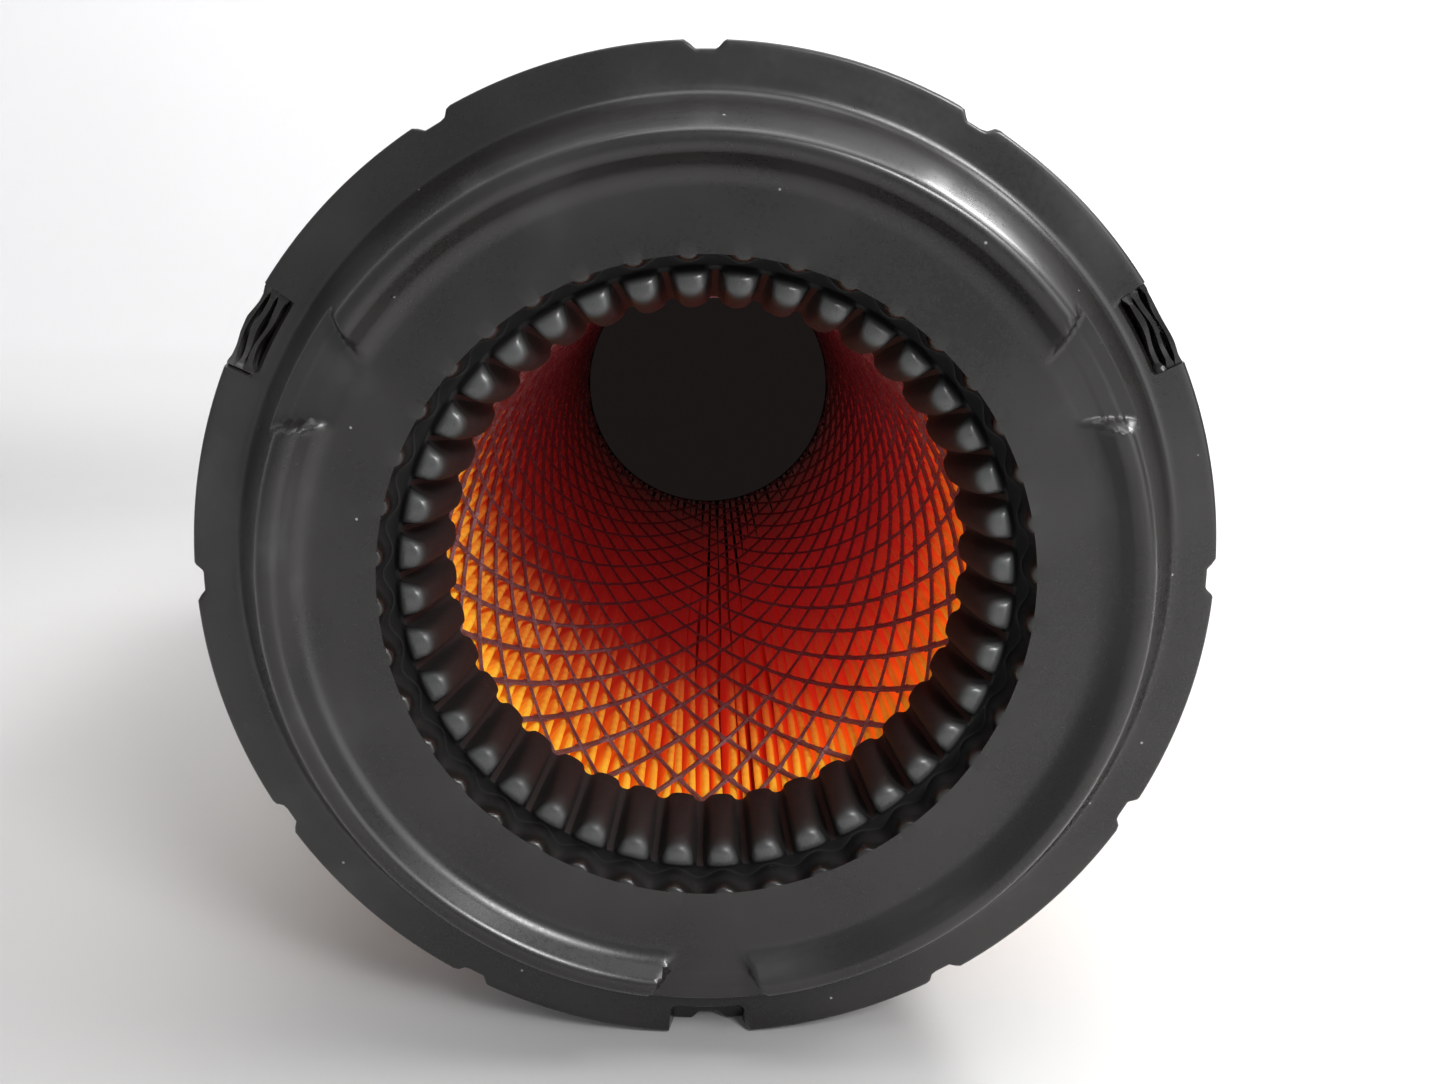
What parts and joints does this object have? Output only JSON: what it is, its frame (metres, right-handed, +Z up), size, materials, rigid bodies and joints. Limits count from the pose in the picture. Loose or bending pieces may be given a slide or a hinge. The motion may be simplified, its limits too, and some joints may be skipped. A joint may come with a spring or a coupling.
{
  "type": "radial seal air filter element",
  "caption": "Cylindrical pleated air filter element for a heavy engine, with one open sealing end, a fluted bore and one closed end.",
  "frame": {"origin": "on the bore axis at the middle of the sealing land inside the open end", "axes": "+Y along the bore from the open end towards the closed end, +Z up as the element lies on its side, +X to the right when looking into the open end"},
  "size_m": [0.2358, 0.4575, 0.2358],
  "materials": {
    "open_end_cap": "semi-gloss moulded polyurethane",
    "closed_end_cap": "semi-gloss moulded polyurethane",
    "liner_steel": "dull plated expanded metal",
    "media_paper": "matte resin-treated cellulose",
    "glue": "set hot-melt adhesive"
  },
  "bodies": {
    "root": {"open_end_cap": "open_end_cap", "closed_end_cap": "closed_end_cap", "inner_liner": "liner_steel", "outer_liner": "liner_steel", "inner_liner_seam": "liner_steel", "outer_liner_seam": "liner_steel", "pleated_media": "media_paper", "pleat_bond": "glue", "pleat_bead_1": "glue", "pleat_bead_2": "glue", "pleat_bead_3": "glue", "pleat_bead_4": "glue"}
  },
  "joints": []
}
